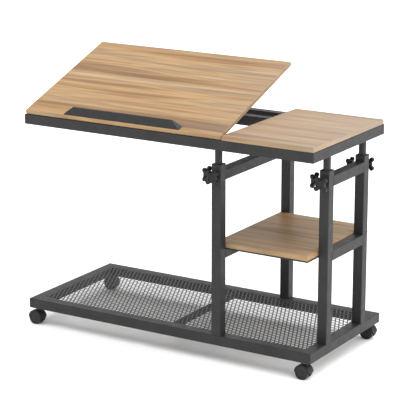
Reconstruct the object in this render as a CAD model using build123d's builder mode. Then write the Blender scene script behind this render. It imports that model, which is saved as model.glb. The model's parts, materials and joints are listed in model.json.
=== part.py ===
from build123d import *
import os
from math import asin, cos, degrees, hypot, radians, sin, tan

# Overbed table on casters: a C-shaped welded tube frame, a shelf, and a top that slides
# up and down on four lift tubes. Part of the top is a board that tilts on two hinges.
# Millimetres. X runs along the length, -Y is the user's side, Z is up from the floor.
# The origin is on the floor, below the middle of the frame.

# Driving dimensions
LENGTH = 900.0
DEPTH = 400.0
TUBE = 28.0
TUBE_WALL = 1.2
TUBE_CORNER = 2.0
BASE_BOTTOM = 46.5
SLEEVE_TOP = 541.0
TOP_FRAME_BOTTOM = 578.0
BOARD_THICKNESS = 13.0
BOARD_INSET = 1.0
BOARD_SPLIT = 179.0
BOARD_GAP = 2.0
BOARD_EDGE_ROUND = 2.0
BOARD_LOWER_ROUND = 1.0
REST_TILT = 20.0
LEFT_POST_X = 165.0
RIGHT_POST_Y = 100.0

# Base deck
CROSS_TUBE = 15.0
CROSS_TUBE_X = 12.5
MESH_THICKNESS = 2.0
MESH_DROP = 0.5

# Shelf, its rails and the upper rails between the posts
SHELF_BOTTOM = 312.0
SHELF_THICKNESS = 15.0
SHELF_CLEARANCE = 0.5
SHELF_SCREW_Y = 120.0
FLAT_WIDTH = 20.0
FLAT_THICKNESS = 4.0
RIGHT_SHELF_RAIL_BOTTOM = 296.5
UPPER_RAIL_BOTTOM = 496.5

# Lift tubes, their bushes and the clamp knobs
LIFT_DIAMETER = 20.0
LIFT_WALL = 1.5
LIFT_LENGTH = 320.0
BUSH_FLANGE = 2.0
BUSH_DEPTH = 22.0
RUNNING_CLEARANCE = 0.05
BODY_CLEARANCE = 0.3
CLAMP_HEIGHT = 509.0
STUD_DIAMETER = 8.0
NUT_DIAMETER = 14.0
NUT_HEIGHT = 6.0
KNOB_SIDE_STANDOFF = 16.5
KNOB_FACE_STANDOFF = 14.5
KNOB_THICKNESS = 10.0
KNOB_LOBES = 4
KNOB_LOBE_CIRCLE = 17.0
KNOB_LOBE_RADIUS = 6.3
KNOB_LOBE_BLEND = 3.0
KNOB_EDGE_ROUND = 2.5
KNOB_CORE_RADIUS = 13.0
KNOB_DISH_RADIUS = 10.0
KNOB_DISH_DEPTH = 1.2
KNOB_HUB_DIAMETER = 17.0
KNOB_HUB_HEIGHT = 8.0

# Rails and racks of the top frame
MIDDLE_RAIL_Y = 110.0
TOP_CROSS_X = 196.0
BOARD_SCREW_Y = 150.0
CROSS_SCREW_Y = 60.0
RACK_THICKNESS = 3.0
RACK_BOTTOM = 571.5
RACK_TOP = 600.5
RACK_NOSE = 45.0
RACK_CLEARANCE = 0.4
RACK_POST_WIDTH = 9.0
RACK_X = (-300.0, 30.0)
RACK_LOCKED_TILTS = (20.0, 27.0, 34.0, 40.0)

# Board hinges
HINGE_X = (-350.0, 80.0)
HINGE_WIDTH = 60.0
HINGE_KNUCKLES = 5
HINGE_KNUCKLE_DIAMETER = 6.0
HINGE_PIN_DIAMETER = 3.0
HINGE_LEAF = 1.2
HINGE_INSET = 5.0
LEAF_GAP = 0.25
RAIL_WEB = 3.3
BOARD_WEB = 4.0
HINGE_EDGE_ROUND = 4.5
RELIEF_MARGIN = 1.0

# Support stand below the tilting board
STAND_REACH = 138.0
STAND_ROD = 8.0
STAND_LEG_ROD = 7.0
STAND_OVERHANG = 15.0
STAND_DROP = 11.0
STAND_LINE = -5.0
STAND_LEG_X = (-275.0, 5.0)
EYE_DIAMETER = 12.0
EYE_WIDTH = 12.0
EYE_PLATE = 1.5
EYE_PLATE_LENGTH = 36.0

# Book ledge on the tilting board
LEDGE_BASE = 372.0
LEDGE_TOP = 316.0
LEDGE_HEIGHT = 18.0
LEDGE_DEPTH = 17.0
LEDGE_NOSE = 2.0
LEDGE_CREST = 3.0
LEDGE_ROUND = 1.0
LEDGE_SETBACK = 4.0
LEDGE_SCREW_SPACING = 140.0
LEDGE_SCREW_BACK = 12.0
LEDGE_SCREW_BITE = 8.0

# Screws
SCREW_DIAMETER = 4.0
SCREW_HEAD_DIAMETER = 8.0
SCREW_HEAD_HEIGHT = 2.5
SCREW_HEAD_ROUND = 1.0
SCREW_BITE = 10.0
SCREW_HOLE = 5.0

# Casters
CASTER_INSET_X = 21.5
CASTER_INSET_Y = 14.0
CASTER_TRAIL = 5.0
WHEEL_DIAMETER = 38.0
WHEEL_WIDTH = 10.5
WHEEL_GAP = 8.5
WHEEL_EDGE_ROUND = 1.5
WHEEL_RIM = 4.0
WHEEL_HUB_RADIUS = 5.0
WHEEL_RECESS = 1.2
AXLE_DIAMETER = 5.0
AXLE_BITE = 1.0
HOOD_THICKNESS = 2.1
HOOD_CLEARANCE = 0.7
HOOD_WIDTH = 26.0
HOOD_WEB = 7.5
HOOD_WEB_INSET = 0.5
HOOD_WEB_BELOW_AXLE = 6.0
BOSS_RADIUS = 7.5
BOSS_ABOVE_AXLE = 9.0
STEM_DIAMETER = 5.0
STEM_BITE = 5.0
STEM_THREAD = 6.0
STEM_THREAD_LENGTH = 14.0
STEM_FLANGE = 2.5
STEM_GAP = 0.5
RIVET_NUT_RADIUS = 4.8
RIVET_NUT_HEIGHT = 10.0

# Worked out from the driving dimensions
BASE_TOP = BASE_BOTTOM + TUBE
FRAME_TOP = TOP_FRAME_BOTTOM + TUBE
POST_TOP = SLEEVE_TOP - BUSH_FLANGE
LEFT_POST_Y = DEPTH / 2 - TUBE / 2
RIGHT_POST_X = LENGTH / 2 - TUBE / 2
BEARER_X = RIGHT_POST_X - TUBE / 2 - FLAT_WIDTH / 2
SHELF_SIDE = DEPTH / 2 - TUBE - SHELF_CLEARANCE
MIDDLE_RAIL_FRONT = MIDDLE_RAIL_Y - TUBE / 2
BOARD_LEFT = -LENGTH / 2 + 3 * BOARD_INSET
HINGE_Y = -DEPTH / 2 + BOARD_INSET + HINGE_INSET
HINGE_Z = FRAME_TOP + BODY_CLEARANCE + HINGE_INSET
BOARD_REACH = DEPTH / 2 - BOARD_INSET - HINGE_Y
STAND_OFFSET = degrees(asin(STAND_DROP / STAND_REACH))
WHEEL_RADIUS = WHEEL_DIAMETER / 2
CASTER_X = LENGTH / 2 - CASTER_INSET_X
CASTER_Y = DEPTH / 2 - CASTER_INSET_Y

SIDES = {"front": (0, -1), "rear": (0, 1), "left": (-1, 0), "right": (1, 0)}
POSTS = {
    "front_left": (LEFT_POST_X, -LEFT_POST_Y, -1),
    "rear_left": (LEFT_POST_X, LEFT_POST_Y, 1),
    "front_right": (RIGHT_POST_X, -RIGHT_POST_Y, -1),
    "rear_right": (RIGHT_POST_X, RIGHT_POST_Y, 1),
}
CORNERS = {
    "front_left": (-1, -1),
    "rear_left": (-1, 1),
    "front_right": (1, -1),
    "rear_right": (1, 1),
}
RAIL_SHELF_SCREWS = [(LEFT_POST_X, -SHELF_SCREW_Y), (LEFT_POST_X, SHELF_SCREW_Y)]
BEARER_SHELF_SCREWS = [(BEARER_X, -SHELF_SCREW_Y), (BEARER_X, SHELF_SCREW_Y)]
RAIL_BOARD_SCREWS = [(RIGHT_POST_X, -BOARD_SCREW_Y), (RIGHT_POST_X, BOARD_SCREW_Y)]
CROSS_BOARD_SCREWS = [(TOP_CROSS_X, -BOARD_SCREW_Y), (TOP_CROSS_X, CROSS_SCREW_Y)]
LEDGE_MIDDLE = (BOARD_LEFT + BOARD_SPLIT - BOARD_GAP / 2) / 2
LEDGE_FRONT = LEDGE_SETBACK - HINGE_INSET
LEDGE_HEAD_HEIGHT = (SCREW_HEAD_DIAMETER - SCREW_DIAMETER) / 2
LEDGE_SCREWS = [
    (LEDGE_MIDDLE + offset, LEDGE_FRONT + LEDGE_SCREW_BACK)
    for offset in (-LEDGE_SCREW_SPACING, 0, LEDGE_SCREW_SPACING)
]

# The tilting board's own plane: X along the hinge, Y up the board, Z out of its top face.
board_plane = Plane(
    origin=(0, HINGE_Y, HINGE_Z),
    x_dir=(1, 0, 0),
    z_dir=(0, -sin(radians(REST_TILT)), cos(radians(REST_TILT))),
)


def save(builder, node):
    """Label one finished piece and write it as a STEP file."""
    builder.part.label = node
    export_step(builder.part, f"parts/{node}.step")


def tube_profile(size=TUBE):
    """Section of a square steel tube with rounded corners."""
    inside = size - 2 * TUBE_WALL
    RectangleRounded(size, size, TUBE_CORNER)
    RectangleRounded(inside, inside, TUBE_CORNER - TUBE_WALL, mode=Mode.SUBTRACT)


def square_tube(node, start, end, size=TUBE, screws=()):
    """A straight square tube from start to end, drilled upright for any screws."""
    run = Vector(*end) - Vector(*start)
    with BuildPart() as tube:
        with BuildSketch(Plane(origin=start, z_dir=run)):
            tube_profile(size)
        extrude(amount=run.length)
        for x, y in screws:
            with Locations((x, y, start[2])):
                Cylinder(SCREW_HOLE / 2, 2 * size, mode=Mode.SUBTRACT)
    save(tube, node)


def mitred_frame(prefix, bottom, holes, hole_diameter):
    """Four tubes mitred at the corners into the table's footprint, drilled upright."""
    for side, (nx, ny) in SIDES.items():
        middle = (nx * RIGHT_POST_X, ny * LEFT_POST_Y, bottom + TUBE / 2)
        span = LENGTH if ny else DEPTH
        with BuildPart() as rail:
            with BuildSketch(Plane(origin=middle, z_dir=(abs(ny), abs(nx), 0))):
                tube_profile()
            extrude(amount=span / 2, both=True)
            for way in (-1, 1):
                mx, my = (way, 0) if ny else (0, way)
                corner = ((nx + mx) * LENGTH / 2, (ny + my) * DEPTH / 2, bottom)
                split(bisect_by=Plane(origin=corner, z_dir=(nx - mx, ny - my, 0)))
            for x, y, z, depth in holes:
                with Locations((x, y, z)):
                    Cylinder(hole_diameter / 2, depth, mode=Mode.SUBTRACT)
        save(rail, f"{prefix}_{side}_rail")


def flat_bar(x_from, x_to, y_from, y_to):
    """One flat bar below the shelf, added to the part being built."""
    with Locations(((x_from + x_to) / 2, (y_from + y_to) / 2, SHELF_BOTTOM - FLAT_THICKNESS / 2)):
        Box(x_to - x_from, y_to - y_from, FLAT_THICKNESS)


def rounded_board(node, x_from, x_to, y_from, y_to, bottom, thickness, screws):
    """A flat board with softened edges and blind holes for the screws below it."""
    width, depth = x_to - x_from, y_to - y_from
    middle = ((x_from + x_to) / 2, (y_from + y_to) / 2)
    with BuildPart() as board:
        with BuildSketch(Plane.XY.offset(bottom)):
            with Locations(middle):
                RectangleRounded(width, depth, BOARD_EDGE_ROUND)
        extrude(amount=thickness)
        fillet(board.edges().filter_by(Plane.XY).group_by(Axis.Z)[-1], radius=BOARD_EDGE_ROUND)
        fillet(board.edges().filter_by(Plane.XY).group_by(Axis.Z)[0], radius=BOARD_LOWER_ROUND)
        for x, y in screws:
            with Locations((x, y, bottom)):
                Cylinder(
                    SCREW_DIAMETER / 2 + RUNNING_CLEARANCE,
                    2 * (SCREW_BITE + BODY_CLEARANCE),
                    mode=Mode.SUBTRACT,
                )
    save(board, node)


def upright_screws(node, board_bottom, groups):
    """Pan-head screws that pass up through a bar or tube and bite into the board above it."""
    with BuildPart() as screws:
        for places, through in groups:
            with BuildSketch(Plane.XY.offset(board_bottom - through - SCREW_HEAD_HEIGHT)):
                with Locations(*places):
                    Circle(SCREW_HEAD_DIAMETER / 2)
            extrude(amount=SCREW_HEAD_HEIGHT)
        head_faces = screws.faces().filter_by(lambda face: face.normal_at().Z < -0.5)
        fillet(head_faces.edges(), radius=SCREW_HEAD_ROUND)
        for places, through in groups:
            with BuildSketch(Plane.XY.offset(board_bottom - through - SCREW_HEAD_HEIGHT / 2)):
                with Locations(*places):
                    Circle(SCREW_DIAMETER / 2)
            extrude(amount=SCREW_HEAD_HEIGHT / 2 + through + SCREW_BITE)
    save(screws, node)


def build_base():
    """Mitred base frame, its cross tube and the mesh deck laid over it."""
    caster_holes = [
        (sx * CASTER_X, sy * CASTER_Y, BASE_BOTTOM, 4 * TUBE_WALL) for sx, sy in CORNERS.values()
    ]
    mitred_frame("base", BASE_BOTTOM, caster_holes, STEM_THREAD + 4 * RUNNING_CLEARANCE)
    mesh_top = BASE_TOP - MESH_DROP
    cross_z = mesh_top - MESH_THICKNESS - CROSS_TUBE / 2
    inner_y = DEPTH / 2 - TUBE
    square_tube(
        "base_cross_tube",
        (CROSS_TUBE_X, -inner_y, cross_z),
        (CROSS_TUBE_X, inner_y, cross_z),
        size=CROSS_TUBE,
    )
    with BuildPart() as mesh_deck:
        with BuildSketch(Plane.XY.offset(mesh_top - MESH_THICKNESS)):
            Rectangle(LENGTH - 2 * TUBE, DEPTH - 2 * TUBE)
        extrude(amount=MESH_THICKNESS)
    save(mesh_deck, "mesh_deck")


def build_posts():
    """Four posts, each with two stud holes near its top, and the rails between them."""
    for name, (x, y, outward) in POSTS.items():
        with BuildPart() as post:
            with BuildSketch(Plane((x, y, BASE_TOP))):
                tube_profile()
            extrude(amount=POST_TOP - BASE_TOP)
            with BuildSketch(Plane(origin=(x, y, CLAMP_HEIGHT), z_dir=(-1, 0, 0))):
                Circle(STUD_DIAMETER / 2 + BODY_CLEARANCE)
            extrude(amount=TUBE, mode=Mode.SUBTRACT)
            with BuildSketch(Plane(origin=(x, y, CLAMP_HEIGHT), z_dir=(0, outward, 0))):
                Circle(STUD_DIAMETER / 2 + BODY_CLEARANCE)
            extrude(amount=TUBE, mode=Mode.SUBTRACT)
        save(post, f"post_{name}")

    left_y = LEFT_POST_Y - TUBE / 2
    right_y = RIGHT_POST_Y - TUBE / 2
    upper_z = UPPER_RAIL_BOTTOM + TUBE / 2
    left_z = SHELF_BOTTOM - TUBE / 2
    right_z = RIGHT_SHELF_RAIL_BOTTOM + TUBE / 2
    for node, x, reach, z, screws in (
        ("left_upper_rail", LEFT_POST_X, left_y, upper_z, ()),
        ("right_upper_rail", RIGHT_POST_X, right_y, upper_z, ()),
        ("left_shelf_rail", LEFT_POST_X, left_y, left_z, RAIL_SHELF_SCREWS),
        ("right_shelf_rail", RIGHT_POST_X, right_y, right_z, ()),
    ):
        square_tube(node, (x, -reach, z), (x, reach, z), screws=screws)


def build_shelf():
    """Shelf board on the left rail and on flat bars along its other three edges."""
    left = LEFT_POST_X + TUBE / 2
    right = RIGHT_POST_X - TUBE / 2
    bar_inner = SHELF_SIDE - FLAT_WIDTH
    with BuildPart() as edge_bars:
        flat_bar(left, right, -SHELF_SIDE, -bar_inner)
        flat_bar(left, right, bar_inner, SHELF_SIDE)
    save(edge_bars, "shelf_edge_bars")
    with BuildPart() as bearer:
        flat_bar(right - FLAT_WIDTH, right, -bar_inner, bar_inner)
        for x, y in BEARER_SHELF_SCREWS:
            with Locations((x, y, SHELF_BOTTOM)):
                Cylinder(SCREW_HOLE / 2, 4 * FLAT_THICKNESS, mode=Mode.SUBTRACT)
    save(bearer, "shelf_bearer")
    rounded_board(
        "storage_shelf",
        LEFT_POST_X - TUBE / 2,
        right - SHELF_CLEARANCE,
        -SHELF_SIDE,
        SHELF_SIDE,
        SHELF_BOTTOM,
        SHELF_THICKNESS,
        RAIL_SHELF_SCREWS + BEARER_SHELF_SCREWS,
    )
    screw_groups = ((RAIL_SHELF_SCREWS, TUBE), (BEARER_SHELF_SCREWS, FLAT_THICKNESS))
    upright_screws("shelf_screws", SHELF_BOTTOM, screw_groups)


def build_lift():
    """Lift tubes, the bushes that guide them, and the nuts of the clamp knobs."""
    for name, (x, y, _) in POSTS.items():
        with BuildPart() as lift_tube:
            with BuildSketch(Plane.XY.offset(TOP_FRAME_BOTTOM)):
                with Locations((x, y)):
                    Circle(LIFT_DIAMETER / 2)
                    Circle(LIFT_DIAMETER / 2 - LIFT_WALL, mode=Mode.SUBTRACT)
            extrude(amount=-LIFT_LENGTH)
        save(lift_tube, f"lift_tube_{name}")

    centres = [(x, y) for x, y, _ in POSTS.values()]
    plug = TUBE - 2 * TUBE_WALL
    with BuildPart() as bushes:
        with BuildSketch(Plane.XY.offset(POST_TOP)):
            with Locations(*centres):
                RectangleRounded(TUBE, TUBE, TUBE_CORNER)
        extrude(amount=BUSH_FLANGE)
        with BuildSketch(Plane.XY.offset(POST_TOP)):
            with Locations(*centres):
                RectangleRounded(plug, plug, TUBE_CORNER - TUBE_WALL)
        extrude(amount=-BUSH_DEPTH)
        with BuildSketch(Plane.XY.offset(SLEEVE_TOP)):
            with Locations(*centres):
                Circle(LIFT_DIAMETER / 2 + RUNNING_CLEARANCE)
        extrude(amount=-BUSH_FLANGE - BUSH_DEPTH, mode=Mode.SUBTRACT)
    save(bushes, "sleeve_bushes")

    with BuildPart() as nuts:
        for x, y, outward in POSTS.values():
            for direction in ((-1, 0, 0), (0, outward, 0)):
                face = Vector(x, y, CLAMP_HEIGHT) + Vector(*direction) * TUBE / 2
                with BuildSketch(Plane(origin=face, z_dir=direction)):
                    Circle(NUT_DIAMETER / 2)
                    Circle(STUD_DIAMETER / 2 + RUNNING_CLEARANCE, mode=Mode.SUBTRACT)
                extrude(amount=NUT_HEIGHT)
    save(nuts, "clamp_nuts")


def build_knob(node, x, y, direction, standoff):
    """Four-lobed knob moulded on its stud; the tip stops just short of the lift tube."""
    face = Plane(origin=Vector(x, y, CLAMP_HEIGHT) + Vector(*direction) * TUBE / 2, z_dir=direction)
    tip = LIFT_DIAMETER / 2 + BODY_CLEARANCE - TUBE / 2
    with BuildPart() as knob:
        with BuildSketch(face.offset(standoff)) as star:
            Circle(KNOB_CORE_RADIUS)
            with PolarLocations(KNOB_LOBE_CIRCLE, KNOB_LOBES, start_angle=45):
                Circle(KNOB_LOBE_RADIUS)
            fillet(star.vertices(), radius=KNOB_LOBE_BLEND)
        extrude(amount=KNOB_THICKNESS)
        rims = knob.edges().filter_by(GeomType.CIRCLE).filter_by(Plane(face.origin, z_dir=direction))
        fillet(rims, radius=KNOB_EDGE_ROUND)
        with BuildSketch(face.offset(standoff + KNOB_THICKNESS)):
            Circle(KNOB_DISH_RADIUS)
        extrude(amount=-KNOB_DISH_DEPTH, mode=Mode.SUBTRACT)
        with BuildSketch(face.offset(standoff - KNOB_HUB_HEIGHT)):
            Circle(KNOB_HUB_DIAMETER / 2)
        extrude(amount=KNOB_HUB_HEIGHT)
        with BuildSketch(face.offset(tip)):
            Circle(STUD_DIAMETER / 2)
        extrude(amount=standoff - tip)
    save(knob, node)


def build_knobs():
    """Two knobs on every post: one on its -X face and one on its outer Y face."""
    for name, (x, y, outward) in POSTS.items():
        build_knob(f"knob_side_{name}", x, y, (-1, 0, 0), KNOB_SIDE_STANDOFF)
        build_knob(f"knob_face_{name}", x, y, (0, outward, 0), KNOB_FACE_STANDOFF)


def build_top_frame():
    """Mitred top frame, its inner rails and the fixed board."""
    inner = DEPTH / 2 - TUBE
    reach = LENGTH / 2 - TUBE
    z = TOP_FRAME_BOTTOM + TUBE / 2
    screw_holes = [(x, y, z, 2 * TUBE) for x, y in RAIL_BOARD_SCREWS]
    mitred_frame("top", TOP_FRAME_BOTTOM, screw_holes, SCREW_HOLE)
    square_tube("top_middle_rail", (-reach, MIDDLE_RAIL_Y, z), (reach, MIDDLE_RAIL_Y, z))
    square_tube(
        "top_cross_tube",
        (TOP_CROSS_X, -inner, z),
        (TOP_CROSS_X, MIDDLE_RAIL_FRONT, z),
        screws=CROSS_BOARD_SCREWS,
    )
    rounded_board(
        "fixed_board",
        BOARD_SPLIT + BOARD_GAP / 2,
        LENGTH / 2 - BOARD_INSET,
        -DEPTH / 2 + BOARD_INSET,
        DEPTH / 2 - BOARD_INSET,
        FRAME_TOP,
        BOARD_THICKNESS,
        RAIL_BOARD_SCREWS + CROSS_BOARD_SCREWS,
    )
    upright_screws("board_screws", FRAME_TOP, ((RAIL_BOARD_SCREWS + CROSS_BOARD_SCREWS, TUBE),))


def stand_foot(tilt):
    """Y and Z of the stand's foot rod with the board at the given tilt."""
    apex = radians(tilt - STAND_OFFSET - STAND_LINE)
    distance = 2 * STAND_REACH * cos(apex)
    line = radians(STAND_LINE)
    return HINGE_Y + distance * cos(line), HINGE_Z + distance * sin(line)


def build_racks():
    """Notched plates along the foot rod's path, from the front rail to the middle rail."""
    drop = STAND_ROD / 2 + RACK_CLEARANCE
    slope = tan(radians(STAND_LINE))
    front = -DEPTH / 2 + TUBE
    stop = MIDDLE_RAIL_FRONT - RACK_POST_WIDTH
    lift = drop / cos(radians(STAND_LINE))

    def tooth_line(y):
        return HINGE_Z + (y - HINGE_Y) * slope - lift

    for node, x in zip(("rack_left", "rack_right"), RACK_X):
        with BuildPart() as rack:
            with BuildSketch(Plane.YZ.offset(x - RACK_THICKNESS / 2)):
                with BuildLine():
                    Polyline(
                        (front, TOP_FRAME_BOTTOM),
                        (front + RACK_NOSE, RACK_BOTTOM),
                        (MIDDLE_RAIL_FRONT, RACK_BOTTOM),
                        (MIDDLE_RAIL_FRONT, RACK_TOP),
                        (stop, RACK_TOP),
                        (stop, tooth_line(stop)),
                        (front, tooth_line(front)),
                        close=True,
                    )
                make_face()
                for tilt in RACK_LOCKED_TILTS:
                    y, z = stand_foot(tilt)
                    with Locations((y, z - drop)):
                        Circle(STAND_ROD / 2, mode=Mode.SUBTRACT)
            extrude(amount=RACK_THICKNESS)
        save(rack, node)


def knuckle_spans(middle, share):
    """Start and end X of every other knuckle: share 0 for the rail leaf, 1 for the board leaf."""
    pitch = HINGE_WIDTH / HINGE_KNUCKLES
    start = middle - HINGE_WIDTH / 2
    for index in range(share, HINGE_KNUCKLES, 2):
        yield start + index * pitch + LEAF_GAP / 2, start + (index + 1) * pitch - LEAF_GAP / 2


def hinge_leaves(node, base, share, leaf_bottom, plate_front, web):
    """One leaf of each hinge: a plate behind the knuckles, webs, and knuckles with a bore."""
    plate_depth = TUBE - 2 * TUBE_CORNER - plate_front
    with BuildPart(base) as leaves:
        for middle in HINGE_X:
            with Locations((middle, plate_front + plate_depth / 2, leaf_bottom + HINGE_LEAF / 2)):
                Box(HINGE_WIDTH, plate_depth, HINGE_LEAF)
            for start, end in knuckle_spans(middle, share):
                centre = (start + end) / 2
                with Locations((centre, web / 2, leaf_bottom / 2)):
                    Box(end - start, web, -leaf_bottom)
                with Locations(Location((centre, 0, 0), (0, 90, 0))):
                    Cylinder(HINGE_KNUCKLE_DIAMETER / 2, end - start)
                with Locations(Location((centre, 0, 0), (0, 90, 0))):
                    Cylinder(
                        HINGE_PIN_DIAMETER / 2 + RUNNING_CLEARANCE,
                        end - start,
                        mode=Mode.SUBTRACT,
                    )
    save(leaves, node)


def build_hinges():
    """Two butt hinges; the knuckles lie inside the front lower edge of the tilting board."""
    rail_plane = Plane(origin=(0, HINGE_Y, HINGE_Z))
    rail_leaf_bottom = FRAME_TOP - HINGE_Z
    board_leaf_bottom = rail_leaf_bottom + HINGE_LEAF + LEAF_GAP
    hinge_leaves("hinge_rail_leaves", rail_plane, 0, rail_leaf_bottom, 0, RAIL_WEB)
    board_front = BOARD_WEB - BODY_CLEARANCE
    hinge_leaves("hinge_board_leaves", board_plane, 1, board_leaf_bottom, board_front, BOARD_WEB)
    with BuildPart() as pins:
        for middle in HINGE_X:
            with Locations(Location((middle, HINGE_Y, HINGE_Z), (0, 90, 0))):
                Cylinder(HINGE_PIN_DIAMETER / 2, HINGE_WIDTH)
    save(pins, "hinge_pins")


def build_tilting_board():
    """Tilting board, relieved for the hinges at its front lower edge."""
    width = BOARD_SPLIT - BOARD_GAP / 2 - BOARD_LEFT
    depth = BOARD_REACH + HINGE_INSET
    middle = (BOARD_LEFT + width / 2, depth / 2 - HINGE_INSET)
    relief_width = HINGE_WIDTH + 2 * BODY_CLEARANCE
    relief_radius = HINGE_KNUCKLE_DIAMETER / 2 + BODY_CLEARANCE
    pocket_rear = TUBE - 2 * TUBE_CORNER + RELIEF_MARGIN
    pocket_top = 2 * HINGE_LEAF + LEAF_GAP
    with BuildPart(board_plane) as board:
        with BuildSketch(board_plane.offset(-HINGE_INSET)):
            with Locations(middle):
                RectangleRounded(width, depth, BOARD_EDGE_ROUND)
        extrude(amount=BOARD_THICKNESS)
        front_lower = board.edges().filter_by(Axis.X).sort_by(Axis.Z)[0]
        fillet(front_lower, radius=HINGE_EDGE_ROUND)
        top_face = board.faces().filter_by(board_plane).sort_by(Axis.Z)[-1]
        fillet(top_face.edges(), radius=BOARD_EDGE_ROUND)
        for x in HINGE_X:
            with BuildSketch(Plane.YZ.offset(x - relief_width / 2)) as relief:
                with Locations(Location((HINGE_Y, HINGE_Z, 0), REST_TILT)):
                    Circle(relief_radius)
                    Polygon(
                        (0, 0),
                        (-2 * HINGE_INSET, -2 * HINGE_INSET),
                        (pocket_rear, -2 * HINGE_INSET),
                        (pocket_rear, pocket_top - HINGE_INSET - BODY_CLEARANCE),
                        (relief_radius + RELIEF_MARGIN, pocket_top - HINGE_INSET - BODY_CLEARANCE),
                        (relief_radius + RELIEF_MARGIN, 0),
                        align=None,
                    )
            extrude(amount=relief_width, mode=Mode.SUBTRACT)
        with BuildSketch(board_plane.offset(-HINGE_INSET)):
            with Locations(*LEDGE_SCREWS):
                Circle(SCREW_HEAD_DIAMETER / 2 + RUNNING_CLEARANCE)
        extrude(amount=LEDGE_HEAD_HEIGHT, taper=45, mode=Mode.SUBTRACT)
        with BuildSketch(board_plane.offset(-HINGE_INSET)):
            with Locations(*LEDGE_SCREWS):
                Circle(SCREW_DIAMETER / 2 + RUNNING_CLEARANCE)
        extrude(amount=BOARD_THICKNESS, mode=Mode.SUBTRACT)
    save(board, "tilting_board")


def build_ledge():
    """Wedge-shaped book ledge near the front edge of the tilting board, and its screws."""
    top = BOARD_THICKNESS - HINGE_INSET
    corner = board_plane.from_local_coords((LEDGE_MIDDLE, LEDGE_FRONT, top))
    section_plane = Plane(origin=corner, x_dir=board_plane.y_dir, z_dir=board_plane.x_dir)
    front_plane = Plane(origin=corner, x_dir=board_plane.x_dir, z_dir=board_plane.y_dir * -1)
    with BuildPart() as ledge:
        with BuildSketch(section_plane) as section:
            with BuildLine():
                Polyline(
                    (0, 0),
                    (0, LEDGE_NOSE),
                    (LEDGE_DEPTH - LEDGE_CREST, LEDGE_HEIGHT),
                    (LEDGE_DEPTH, LEDGE_HEIGHT),
                    (LEDGE_DEPTH, 0),
                    close=True,
                )
            make_face()
            fillet(section.vertices().sort_by(Axis.Y)[-2:], radius=LEDGE_ROUND)
        extrude(amount=LEDGE_BASE / 2, both=True)
        with BuildSketch(front_plane):
            with BuildLine():
                Polyline(
                    (-LEDGE_BASE / 2, 0),
                    (LEDGE_BASE / 2, 0),
                    (LEDGE_TOP / 2, LEDGE_HEIGHT),
                    (-LEDGE_TOP / 2, LEDGE_HEIGHT),
                    close=True,
                )
            make_face()
        extrude(amount=-LEDGE_DEPTH, mode=Mode.INTERSECT)
        with BuildSketch(board_plane.offset(top)):
            with Locations(*LEDGE_SCREWS):
                Circle(SCREW_DIAMETER / 2 + RUNNING_CLEARANCE)
        extrude(amount=LEDGE_SCREW_BITE + BODY_CLEARANCE, mode=Mode.SUBTRACT)
    save(ledge, "book_ledge")

    with BuildPart() as screws:
        with BuildSketch(board_plane.offset(-HINGE_INSET)):
            with Locations(*LEDGE_SCREWS):
                Circle(SCREW_HEAD_DIAMETER / 2)
        extrude(amount=LEDGE_HEAD_HEIGHT, taper=45)
        with BuildSketch(board_plane.offset(-HINGE_INSET)):
            with Locations(*LEDGE_SCREWS):
                Circle(SCREW_DIAMETER / 2)
        extrude(amount=BOARD_THICKNESS + LEDGE_SCREW_BITE)
    save(screws, "ledge_screws")


def build_stand():
    """Welded rod stand that props the board, and the eyes that it turns in."""
    pivot = board_plane.from_local_coords((0, STAND_REACH * cos(radians(STAND_OFFSET)), -STAND_DROP))
    foot_y, foot_z = stand_foot(REST_TILT)
    down = Vector(0, foot_y - pivot.Y, foot_z - pivot.Z)
    stand_plane = Plane(origin=pivot, x_dir=(1, 0, 0), z_dir=Vector(1, 0, 0).cross(down))
    upper_from, upper_to = RACK_X
    upper = (upper_from, upper_to, 0)
    foot = (upper_from - STAND_OVERHANG, upper_to + STAND_OVERHANG, STAND_REACH)
    with BuildPart(stand_plane) as stand:
        for x_from, x_to, y in (upper, foot):
            with Locations(Location(((x_from + x_to) / 2, y, 0), (0, 90, 0))):
                Cylinder(STAND_ROD / 2, x_to - x_from)
        for x in STAND_LEG_X:
            with Locations(Location((x, STAND_REACH / 2, 0), (90, 0, 0))):
                Cylinder(STAND_LEG_ROD / 2, STAND_REACH)
    save(stand, "support_stand")

    eye_plane = Plane(origin=pivot, x_dir=(1, 0, 0), z_dir=board_plane.z_dir)
    plate_z = STAND_DROP - HINGE_INSET - EYE_PLATE / 2
    eye_inset = EYE_WIDTH / 2 + RACK_THICKNESS
    with BuildPart(eye_plane) as eyes:
        for x in (upper_from + eye_inset, upper_to - eye_inset):
            with Locations(Location((x, 0, 0), (0, 90, 0))):
                Cylinder(EYE_DIAMETER / 2, EYE_WIDTH)
            with Locations((x, 0, plate_z)):
                Box(EYE_WIDTH, EYE_PLATE_LENGTH, EYE_PLATE)
            with Locations(Location((x, 0, 0), (0, 90, 0))):
                Cylinder(STAND_ROD / 2 + RUNNING_CLEARANCE, EYE_WIDTH, mode=Mode.SUBTRACT)
    save(eyes, "stand_eyes")


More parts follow.
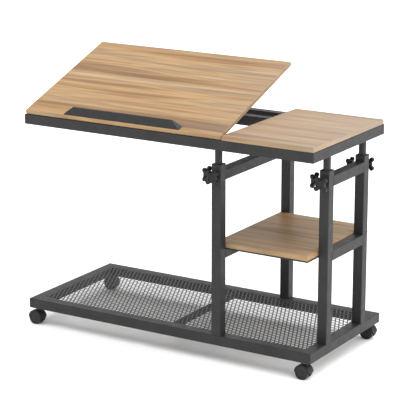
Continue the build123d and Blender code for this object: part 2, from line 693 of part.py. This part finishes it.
def build_caster(name, stem_x, stem_y):
    """Twin-wheel caster: swivelling hood on a fixed stem, and a pair of wheels on an axle."""
    axle_x = stem_x - CASTER_TRAIL
    side = Plane(origin=(axle_x, stem_y, WHEEL_RADIUS), x_dir=(1, 0, 0), z_dir=(0, -1, 0))
    hood_inner = WHEEL_RADIUS + HOOD_CLEARANCE
    hood_outer = hood_inner + HOOD_THICKNESS
    boss_bottom = WHEEL_RADIUS + BOSS_ABOVE_AXLE
    boss_top = BASE_BOTTOM - STEM_FLANGE - STEM_GAP
    with BuildPart() as hood:
        with BuildSketch(side):
            Circle(hood_outer)
            with Locations((0, -WHEEL_RADIUS)):
                Rectangle(3 * hood_outer, 2 * WHEEL_RADIUS, mode=Mode.SUBTRACT)
        extrude(amount=HOOD_WIDTH / 2, both=True)
        with BuildSketch(Plane.XY.offset(boss_bottom)):
            with Locations((stem_x, stem_y)):
                Circle(BOSS_RADIUS)
        extrude(amount=boss_top - boss_bottom)
        with BuildSketch(side):
            Circle(hood_inner)
        extrude(amount=HOOD_WIDTH, both=True, mode=Mode.SUBTRACT)
        with BuildSketch(side):
            Circle(hood_outer - HOOD_WEB_INSET)
            with Locations((0, -WHEEL_RADIUS - HOOD_WEB_BELOW_AXLE)):
                Rectangle(3 * hood_outer, 2 * WHEEL_RADIUS, mode=Mode.SUBTRACT)
        extrude(amount=HOOD_WEB / 2, both=True)
        with BuildSketch(side):
            Circle(AXLE_DIAMETER / 2 + RUNNING_CLEARANCE)
        extrude(amount=HOOD_WEB, both=True, mode=Mode.SUBTRACT)
        with BuildSketch(Plane.XY.offset(boss_top)):
            with Locations((stem_x, stem_y)):
                Circle(STEM_DIAMETER / 2 + RUNNING_CLEARANCE)
        extrude(amount=-STEM_BITE, mode=Mode.SUBTRACT)
    save(hood, f"caster_hood_{name}")

    with BuildPart() as wheels:
        for way in (-1, 1):
            inner_face = side.offset(way * WHEEL_GAP / 2)
            with BuildSketch(inner_face):
                Circle(WHEEL_RADIUS)
            extrude(amount=way * WHEEL_WIDTH)
        fillet(wheels.edges().filter_by(GeomType.CIRCLE), radius=WHEEL_EDGE_ROUND)
        for way in (-1, 1):
            outer_face = side.offset(way * (WHEEL_GAP / 2 + WHEEL_WIDTH))
            with BuildSketch(outer_face):
                Circle(WHEEL_RADIUS - WHEEL_RIM)
                Circle(WHEEL_HUB_RADIUS, mode=Mode.SUBTRACT)
            extrude(amount=-way * WHEEL_RECESS, mode=Mode.SUBTRACT)
        with BuildSketch(side):
            Circle(AXLE_DIAMETER / 2)
        extrude(amount=WHEEL_GAP / 2 + AXLE_BITE, both=True)
    save(wheels, f"caster_wheels_{name}")


def build_casters():
    """Four casters, their stems, and the rivet nuts that hold the stems in the frame."""
    places = [(sx * CASTER_X, sy * CASTER_Y) for sx, sy in CORNERS.values()]
    for name, (x, y) in zip(CORNERS, places):
        build_caster(name, x, y)

    with BuildPart() as stems:
        for bottom, height, radius in (
            (BASE_BOTTOM - STEM_FLANGE - STEM_BITE, STEM_BITE, STEM_DIAMETER / 2),
            (BASE_BOTTOM - STEM_FLANGE, STEM_FLANGE, BOSS_RADIUS),
            (BASE_BOTTOM, STEM_THREAD_LENGTH, STEM_THREAD / 2),
        ):
            with BuildSketch(Plane.XY.offset(bottom)):
                with Locations(*places):
                    Circle(radius)
            extrude(amount=height)
    save(stems, "caster_stems")

    with BuildPart() as nuts:
        with BuildSketch(Plane.XY.offset(BASE_BOTTOM + TUBE_WALL)):
            with Locations(*places):
                Circle(RIVET_NUT_RADIUS)
                Circle(STEM_THREAD / 2 + RUNNING_CLEARANCE, mode=Mode.SUBTRACT)
        extrude(amount=RIVET_NUT_HEIGHT)
    save(nuts, "caster_nuts")


os.makedirs("parts", exist_ok=True)
build_base()
build_posts()
build_shelf()
build_lift()
build_knobs()
build_top_frame()
build_racks()
build_hinges()
build_tilting_board()
build_ledge()
build_stand()
build_casters()

rest_foot_y, rest_foot_z = stand_foot(REST_TILT)
pivot_point = board_plane.from_local_coords((0, STAND_REACH * cos(radians(STAND_OFFSET)), -STAND_DROP))
print("hinge axis", HINGE_Y, HINGE_Z)
print("stand pivot", pivot_point.Y, pivot_point.Z)
print("stand foot", rest_foot_y, rest_foot_z)
print("stand length", hypot(pivot_point.Y - rest_foot_y, pivot_point.Z - rest_foot_z))
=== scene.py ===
import json
import math

import bpy
from mathutils import Matrix, Vector


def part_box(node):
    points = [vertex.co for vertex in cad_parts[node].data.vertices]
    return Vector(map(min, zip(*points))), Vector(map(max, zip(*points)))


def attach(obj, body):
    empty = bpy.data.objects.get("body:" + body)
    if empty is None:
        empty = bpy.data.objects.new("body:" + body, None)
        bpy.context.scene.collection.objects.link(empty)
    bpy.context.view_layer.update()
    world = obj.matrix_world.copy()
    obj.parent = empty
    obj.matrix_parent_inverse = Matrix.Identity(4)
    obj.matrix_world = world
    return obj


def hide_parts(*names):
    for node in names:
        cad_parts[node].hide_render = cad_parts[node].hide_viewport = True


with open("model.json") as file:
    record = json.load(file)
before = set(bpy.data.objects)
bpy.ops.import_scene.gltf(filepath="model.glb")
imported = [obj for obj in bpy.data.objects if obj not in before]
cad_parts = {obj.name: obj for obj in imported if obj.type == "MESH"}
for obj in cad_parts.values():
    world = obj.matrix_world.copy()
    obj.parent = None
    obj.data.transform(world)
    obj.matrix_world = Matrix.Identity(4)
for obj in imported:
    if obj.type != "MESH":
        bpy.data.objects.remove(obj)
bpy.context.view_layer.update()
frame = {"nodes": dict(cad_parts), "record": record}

MM = 0.001

# Camera: it looks at a point above the middle of the table.
CAMERA_TARGET = (-0.007, 0.0, 0.377)
CAMERA_DISTANCE = 4.887
CAMERA_AZIMUTH = 31.73
CAMERA_ELEVATION = 14.865
CAMERA_ROLL = -0.05
CAMERA_LENS = 160.0
CAMERA_SENSOR = 36.0

# Expanded metal: the diamonds are long across the table and short along it.
DIAMOND_SHORT = 12 * MM
DIAMOND_LONG = 25 * MM
STRAND_WIDTH = 3.2 * MM
STRAND_THICKNESS = 1.2 * MM
STRAND_RAISE = 0.3 * MM
BOND_LENGTH = 3.0 * MM
MESH_RIM = 4.0 * MM

# Studio
FLOOR_REACH = 30.0
WORLD_STRENGTH = 1.05
SUN_FROM = (1.0, 0.1, 3.0)
SUN_ANGLE = 75
SUN_STRENGTH = 2.8
PANEL_PLACE = (3.2, 0.4, 1.1)
PANEL_TARGET = (0, 0, 0.4)
PANEL_SIZE = 1.8
PANEL_POWER = 24


class Shader:
    """A principled material whose colour and relief come from a few procedural nodes."""

    def __init__(self, name, roughness, metallic=0.0, specular=0.5):
        self.material = bpy.data.materials.new(name)
        self.material.use_nodes = True
        self.tree = self.material.node_tree
        self.surface = self.tree.nodes["Principled BSDF"]
        self.surface.inputs["Roughness"].default_value = roughness
        self.surface.inputs["Metallic"].default_value = metallic
        self.surface.inputs["Specular IOR Level"].default_value = specular
        self.place = self.node("ShaderNodeTexCoord").outputs["Object"]

    def node(self, kind, **inputs):
        made = self.tree.nodes.new(kind)
        for key, value in inputs.items():
            made.inputs[key.replace("_", " ")].default_value = value
        return made

    def link(self, output, target):
        self.tree.links.new(output, target)

    def noise(self, scale, stretch=(1, 1, 1), detail=3.0, roughness=0.5, shift=(0, 0, 0)):
        """Noise value at this many features per metre, stretched along each axis."""
        mapping = self.node("ShaderNodeMapping", Scale=stretch, Location=shift)
        self.link(self.place, mapping.inputs["Vector"])
        noise = self.node("ShaderNodeTexNoise", Scale=scale, Detail=detail, Roughness=roughness)
        self.link(mapping.outputs["Vector"], noise.inputs["Vector"])
        return noise.outputs["Fac"]

    def ramp(self, factor, *stops):
        """Colours along a factor, as (position, colour) stops."""
        ramp = self.node("ShaderNodeValToRGB")
        elements = ramp.color_ramp.elements
        while len(elements) < len(stops):
            elements.new(0.5)
        for element, (position, colour) in zip(elements, stops):
            element.position = position
            element.color = (*colour, 1)
        self.link(factor, ramp.inputs["Fac"])
        return ramp.outputs["Color"]

    def mix(self, kind, amount, below, above):
        mix = self.node("ShaderNodeMix")
        mix.data_type = "RGBA"
        mix.blend_type = kind
        if isinstance(amount, float):
            mix.inputs[0].default_value = amount
        else:
            self.link(amount, mix.inputs[0])
        for value, socket in ((below, mix.inputs[6]), (above, mix.inputs[7])):
            if isinstance(value, tuple):
                socket.default_value = (*value, 1)
            else:
                self.link(value, socket)
        return mix.outputs[2]

    def span(self, factor, low, high, to_low, to_high):
        """Maps a factor from one range to another, clamped."""
        made = self.node("ShaderNodeMapRange")
        made.inputs["From Min"].default_value = low
        made.inputs["From Max"].default_value = high
        made.inputs["To Min"].default_value = to_low
        made.inputs["To Max"].default_value = to_high
        self.link(factor, made.inputs["Value"])
        return made.outputs["Result"]

    def colour(self, output):
        self.link(output, self.surface.inputs["Base Color"])

    def roughness(self, output):
        self.link(output, self.surface.inputs["Roughness"])

    def bump(self, height, strength, distance):
        bump = self.node("ShaderNodeBump", Strength=strength, Distance=distance)
        self.link(height, bump.inputs["Height"])
        self.link(bump.outputs["Normal"], self.surface.inputs["Normal"])


def powder_coat(name, dark, light):
    """Charcoal powder coat: orange-peel relief, faint mottling and uneven gloss."""
    coat = Shader(name, 0.5, specular=0.3)
    mottle = coat.noise(22, detail=4)
    coat.colour(coat.ramp(mottle, (0.3, dark), (0.7, light)))
    coat.roughness(coat.span(coat.noise(60, detail=5), 0.3, 0.7, 0.42, 0.56))
    coat.bump(coat.noise(1400, detail=2, roughness=0.6), 0.35, 0.0002)
    return coat.material


def laminate():
    """Wood-grain laminate: broad bands, soft streaks and fine pores, all along the table.

    The banding on the boards' end faces runs across the table instead.
    """
    wood = Shader("laminate", 0.45, specular=0.35)
    facing = wood.node("ShaderNodeSeparateXYZ")
    wood.link(wood.node("ShaderNodeTexCoord").outputs["Normal"], facing.inputs["Vector"])
    squared = wood.node("ShaderNodeMath")
    squared.operation = "MULTIPLY"
    wood.link(facing.outputs["X"], squared.inputs[0])
    wood.link(facing.outputs["X"], squared.inputs[1])
    is_end = wood.span(squared.outputs["Value"], 0.45, 0.55, 0.0, 1.0)
    parts = wood.node("ShaderNodeSeparateXYZ")
    wood.link(wood.place, parts.inputs["Vector"])
    turned = wood.node("ShaderNodeCombineXYZ")
    wood.link(parts.outputs["Y"], turned.inputs["X"])
    wood.link(parts.outputs["X"], turned.inputs["Y"])
    wood.link(parts.outputs["Z"], turned.inputs["Z"])
    wood.place = wood.mix("MIX", is_end, wood.place, turned.outputs["Vector"])

    bands = wood.noise(1.0, (1.3, 30, 12), detail=3, roughness=0.55, shift=(0.4, 0.2, 0.1))
    base = wood.ramp(
        bands,
        (0.34, (0.170, 0.094, 0.043)),
        (0.44, (0.29, 0.162, 0.066)),
        (0.50, (0.37, 0.235, 0.109)),
        (0.57, (0.25, 0.160, 0.086)),
        (0.66, (0.38, 0.258, 0.136)),
    )
    # The wood is mixed towards grey more towards +X, fully on the top boards and only 0.15 as much
    # on the low shelf.
    greying = wood.node("ShaderNodeMath")
    greying.operation = "MULTIPLY"
    wood.link(wood.span(parts.outputs["X"], 0.0, 0.45, 0.0, 0.5), greying.inputs[0])
    wood.link(wood.span(parts.outputs["Z"], 0.35, 0.55, 0.15, 1.0), greying.inputs[1])
    greyed_wood = wood.mix("MIX", greying.outputs["Value"], base, (0.265, 0.222, 0.185))
    streaks = wood.noise(1.0, (2.2, 95, 60), detail=4, roughness=0.6)
    streaked = wood.mix("MULTIPLY", 0.55, greyed_wood, wood.ramp(
        streaks,
        (0.34, (0.66, 0.60, 0.54)),
        (0.50, (0.97, 0.96, 0.95)),
        (0.66, (1.06, 1.05, 1.02)),
    ))
    pores = wood.noise(1.0, (9, 700, 500), detail=3, roughness=0.7)
    grained = wood.mix("MULTIPLY", 0.35, streaked, wood.ramp(
        pores,
        (0.36, (0.72, 0.67, 0.62)),
        (0.50, (1.0, 1.0, 1.0)),
    ))
    wood.colour(grained)
    wood.roughness(wood.span(pores, 0.3, 0.7, 0.54, 0.42))
    wood.bump(pores, 0.2, 0.0002)
    return wood.material


def moulded_plastic(name, colour, roughness):
    """Black moulded plastic with a fine spark-eroded grain."""
    plastic = Shader(name, roughness, specular=0.3)
    low = tuple(0.75 * c for c in colour)
    plastic.colour(plastic.ramp(plastic.noise(70, detail=4), (0.3, low), (0.7, colour)))
    plastic.roughness(plastic.span(plastic.noise(40), 0.3, 0.7, roughness - 0.08, roughness + 0.08))
    plastic.bump(plastic.noise(2600, detail=1), 0.3, 0.0001)
    return plastic.material


def zinc_plate():
    """Bright zinc plating with a slightly cloudy passivation."""
    zinc = Shader("zinc", 0.35, metallic=1.0)
    cloud = zinc.noise(180, detail=4)
    zinc.colour(zinc.ramp(cloud, (0.3, (0.42, 0.42, 0.40)), (0.7, (0.62, 0.62, 0.60))))
    zinc.roughness(zinc.span(cloud, 0.3, 0.7, 0.28, 0.45))
    return zinc.material


def mesh_object(name, verts, faces):
    data = bpy.data.meshes.new(name)
    data.from_pydata([tuple(v) for v in verts], [], faces)
    data.update()
    piece = bpy.data.objects.new(name, data)
    bpy.context.scene.collection.objects.link(piece)
    return piece


def add_swept_bar(verts, faces, spine, width, thickness):
    """Adds a closed rectangular bar along a spine of (point, side) pairs."""
    first = len(verts)
    for point, side in spine:
        for across, up in ((-0.5, -0.5), (0.5, -0.5), (0.5, 0.5), (-0.5, 0.5)):
            verts.append(point + side * (across * width) + Vector((0, 0, up * thickness)))
    for step in range(len(spine) - 1):
        here = first + 4 * step
        for corner in range(4):
            after = (corner + 1) % 4
            faces.append((here + corner, here + after, here + 4 + after, here + 4 + corner))
    last = first + 4 * (len(spine) - 1)
    faces.append((first + 3, first + 2, first + 1, first))
    faces.append((last, last + 1, last + 2, last + 3))


def expanded_metal():
    """The mesh deck: zigzag strands that meet at short bonds, inside a thin flat rim."""
    low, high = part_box("mesh_deck")
    middle_z = (low.z + high.z) / 2
    verts, faces = [], []
    pitch = DIAMOND_SHORT / 2
    lines = int((high.x - low.x - 2 * STRAND_WIDTH) / pitch)
    steps = int((high.y - low.y) / (DIAMOND_LONG / 2))
    start_x = (low.x + high.x) / 2 - pitch * (lines - 1) / 2
    step_y = (high.y - low.y) / steps
    for line in range(lines):
        spine = []
        for step in range(steps + 1):
            swing = 1 if (line + step) % 2 else -1
            x = start_x + line * pitch + swing * DIAMOND_SHORT / 4
            z = middle_z - swing * STRAND_RAISE
            for shift in (-BOND_LENGTH / 2, BOND_LENGTH / 2):
                y = min(max(low.y + step * step_y + shift, low.y), high.y)
                spine.append((Vector((x, y, z)), Vector((1, 0, 0))))
        add_swept_bar(verts, faces, spine, STRAND_WIDTH, STRAND_THICKNESS)
    rim_thickness = high.z - low.z
    for x, y, along_x in (
        (0, low.y + MESH_RIM / 2, True),
        (0, high.y - MESH_RIM / 2, True),
        (low.x + MESH_RIM / 2, 0, False),
        (high.x - MESH_RIM / 2, 0, False),
    ):
        reach = Vector((high.x, 0, 0)) if along_x else Vector((0, high.y - MESH_RIM, 0))
        side = Vector((0, 1, 0)) if along_x else Vector((1, 0, 0))
        centre = Vector((x, y, middle_z))
        spine = [(centre - reach, side), (centre + reach, side)]
        add_swept_bar(verts, faces, spine, MESH_RIM, rim_thickness)
    return mesh_object("expanded_metal", verts, faces)


def make_camera():
    azimuth, elevation = math.radians(CAMERA_AZIMUTH), math.radians(CAMERA_ELEVATION)
    back = Vector(
        (
            math.sin(azimuth) * math.cos(elevation),
            -math.cos(azimuth) * math.cos(elevation),
            math.sin(elevation),
        )
    )
    data = bpy.data.cameras.new("camera")
    data.lens = CAMERA_LENS
    data.sensor_width = CAMERA_SENSOR
    camera = bpy.data.objects.new("camera", data)
    aim = (-back).to_track_quat("-Z", "Y").to_matrix().to_4x4()
    roll = Matrix.Rotation(math.radians(CAMERA_ROLL), 4, "Z")
    place = Matrix.Translation(Vector(CAMERA_TARGET) + back * CAMERA_DISTANCE)
    camera.matrix_world = place @ aim @ roll
    bpy.context.scene.collection.objects.link(camera)
    bpy.context.scene.camera = camera


def make_light(name, kind, place, target, size, power):
    """A soft light: a square panel of this size, or a sun of this angle in degrees."""
    data = bpy.data.lights.new(name, kind)
    data.energy = power
    if kind == "SUN":
        data.angle = math.radians(size)
    else:
        data.shape = "SQUARE"
        data.size = size
    light = bpy.data.objects.new(name, data)
    light.location = place
    light.rotation_euler = (Vector(target) - Vector(place)).to_track_quat("-Z", "Y").to_euler()
    bpy.context.scene.collection.objects.link(light)


def make_studio():
    """Plain pale floor, a soft light from above and a panel beyond the shelf end."""
    reach = FLOOR_REACH
    corners = [(-reach, -reach, 0), (reach, -reach, 0), (reach, reach, 0), (-reach, reach, 0)]
    floor = mesh_object("floor", corners, [(0, 1, 2, 3)])
    paint = Shader("floor_paint", 0.7, specular=0.1)
    paint.colour(paint.ramp(paint.noise(3), (0.0, (0.90, 0.90, 0.90)), (1.0, (0.93, 0.93, 0.93))))
    floor.data.materials.append(paint.material)
    world = bpy.data.worlds.new("surround")
    world.use_nodes = True
    world.node_tree.nodes["Background"].inputs["Color"].default_value = (1, 1, 1, 1)
    world.node_tree.nodes["Background"].inputs["Strength"].default_value = WORLD_STRENGTH
    bpy.context.scene.world = world
    make_light("overhead", "SUN", SUN_FROM, (0, 0, 0), SUN_ANGLE, SUN_STRENGTH)
    make_light("right_panel", "AREA", PANEL_PLACE, PANEL_TARGET, PANEL_SIZE, PANEL_POWER)
    bpy.context.scene.view_settings.view_transform = "Standard"


def dress_frame(materials):
    """Gives every CAD node the material of its slot in the record."""
    for row in frame["record"]["subparts"]:
        node = frame["nodes"][row["node"]]
        node.data.materials.clear()
        node.data.materials.append(materials[row["material_slot"]])


MATERIALS = {
    "steel": powder_coat("steel", (0.0145, 0.0148, 0.015), (0.0205, 0.0208, 0.021)),
    # The deck gets the steel's charcoal coat painted about 2.7 times lighter: painted light on the
    # strands, which also makes up for the shade on the floor seen through them.
    "mesh": powder_coat("mesh", (0.038, 0.0385, 0.039), (0.054, 0.0545, 0.055)),
    "laminate": laminate(),
    "ledge": moulded_plastic("ledge", (0.024, 0.0245, 0.0255), 0.5),
    "knob": moulded_plastic("knob", (0.007, 0.007, 0.0075), 0.42),
    "plastic": moulded_plastic("plastic", (0.008, 0.008, 0.009), 0.5),
    "wheel": moulded_plastic("wheel", (0.016, 0.016, 0.017), 0.45),
    "zinc": zinc_plate(),
}

make_camera()
make_studio()
dress_frame(MATERIALS)

deck = expanded_metal()
deck.data.materials.append(MATERIALS["mesh"])
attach(deck, "stand_frame")
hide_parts("mesh_deck")
